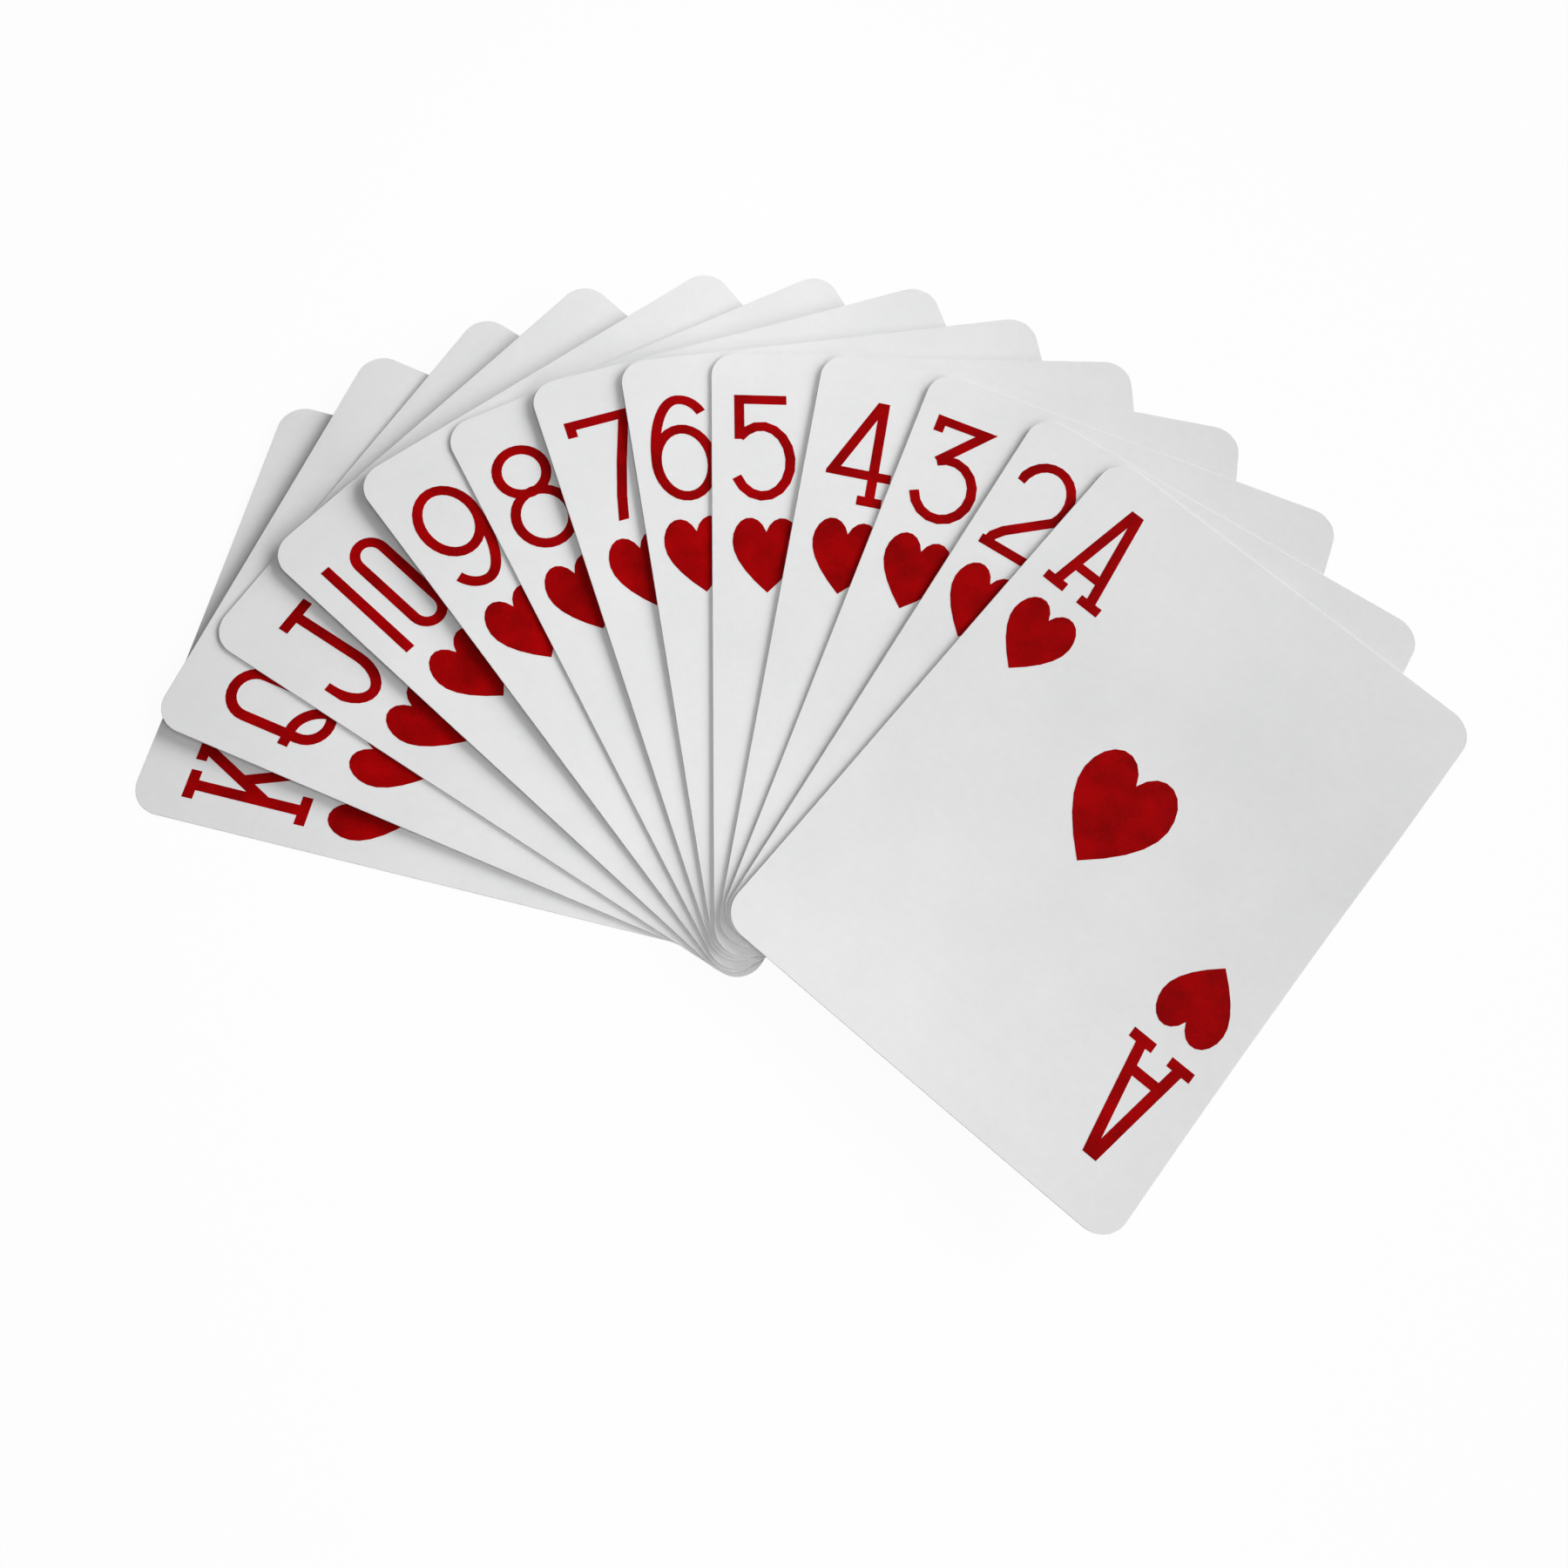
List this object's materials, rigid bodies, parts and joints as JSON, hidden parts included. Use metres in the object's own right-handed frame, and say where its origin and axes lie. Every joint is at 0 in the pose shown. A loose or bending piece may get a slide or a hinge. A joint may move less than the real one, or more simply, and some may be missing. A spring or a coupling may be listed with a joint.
{
  "type": "playing card deck",
  "caption": "Fan of playing cards of the hearts suit, face up, each card turning on the one under it about a pinch point near the lower left corner.",
  "frame": {"origin": "on the underside of the lowest card, the king, 8 mm in from its left edge and from its bottom edge, where the fan is pinched", "axes": "+Z up out of the card faces; +X to the right and +Y up as the fan is seen from above with the ace on the right"},
  "size_m": [0.1814, 0.1379, 0.0063],
  "materials": {
    "card_stock": "satin",
    "red_ink": "satin"
  },
  "bodies": {
    "king": {"king_card": "card_stock", "king_print": "red_ink"},
    "queen": {"queen_card": "card_stock", "queen_print": "red_ink"},
    "jack": {"jack_card": "card_stock", "jack_print": "red_ink"},
    "ten": {"ten_card": "card_stock", "ten_print": "red_ink"},
    "nine": {"nine_card": "card_stock", "nine_print": "red_ink"},
    "eight": {"eight_card": "card_stock", "eight_print": "red_ink"},
    "seven": {"seven_card": "card_stock", "seven_print": "red_ink"},
    "six": {"six_card": "card_stock", "six_print": "red_ink"},
    "five": {"five_card": "card_stock", "five_print": "red_ink"},
    "four": {"four_card": "card_stock", "four_print": "red_ink"},
    "three": {"three_card": "card_stock", "three_print": "red_ink"},
    "two": {"two_card": "card_stock", "two_print": "red_ink"},
    "ace": {"ace_card": "card_stock", "ace_print": "red_ink"}
  },
  "joints": [
    {"name": "queen_turn", "type": "hinge", "parent": "king", "child": "queen", "pos_m": [-0.00461, 0.00218, 0.0005], "axis": [0, 0, -1], "range_deg": [-9, 6]},
    {"name": "jack_turn", "type": "hinge", "parent": "queen", "child": "jack", "pos_m": [-0.00589, -0.00597, 0.001], "axis": [0, 0, -1], "range_deg": [-10, 5]},
    {"name": "ten_turn", "type": "hinge", "parent": "jack", "child": "ten", "pos_m": [0.00404, -0.00169, 0.0015], "axis": [0, 0, -1], "range_deg": [-9.5, 5.5]},
    {"name": "nine_turn", "type": "hinge", "parent": "ten", "child": "nine", "pos_m": [0.00152, -0.00887, 0.002], "axis": [0, 0, -1], "range_deg": [-10.5, 4.5]},
    {"name": "eight_turn", "type": "hinge", "parent": "nine", "child": "eight", "pos_m": [0.00292, -0.00907, 0.0025], "axis": [0, 0, -1], "range_deg": [-9.5, 5.5]},
    {"name": "seven_turn", "type": "hinge", "parent": "eight", "child": "seven", "pos_m": [0.00825, -0.0063, 0.003], "axis": [0, 0, -1], "range_deg": [-9, 6]},
    {"name": "six_turn", "type": "hinge", "parent": "seven", "child": "six", "pos_m": [0.0035, -0.00789, 0.0035], "axis": [0, 0, -1], "range_deg": [-9, 6]},
    {"name": "five_turn", "type": "hinge", "parent": "six", "child": "five", "pos_m": [0.0035, -0.00789, 0.004], "axis": [0, 0, -1], "range_deg": [-9, 6]},
    {"name": "four_turn", "type": "hinge", "parent": "five", "child": "four", "pos_m": [0.0085, -0.00784, 0.0045], "axis": [0, 0, -1], "range_deg": [-11, 4]},
    {"name": "three_turn", "type": "hinge", "parent": "four", "child": "three", "pos_m": [0.00869, -0.00686, 0.005], "axis": [0, 0, -1], "range_deg": [-11, 4]},
    {"name": "two_turn", "type": "hinge", "parent": "three", "child": "two", "pos_m": [0.00181, -0.00522, 0.0055], "axis": [0, 0, -1], "range_deg": [-11, 4]},
    {"name": "ace_turn", "type": "hinge", "parent": "two", "child": "ace", "pos_m": [0.00265, -0.00576, 0.006], "axis": [0, 0, -1], "range_deg": [-8.5, 6.5]}
  ]
}
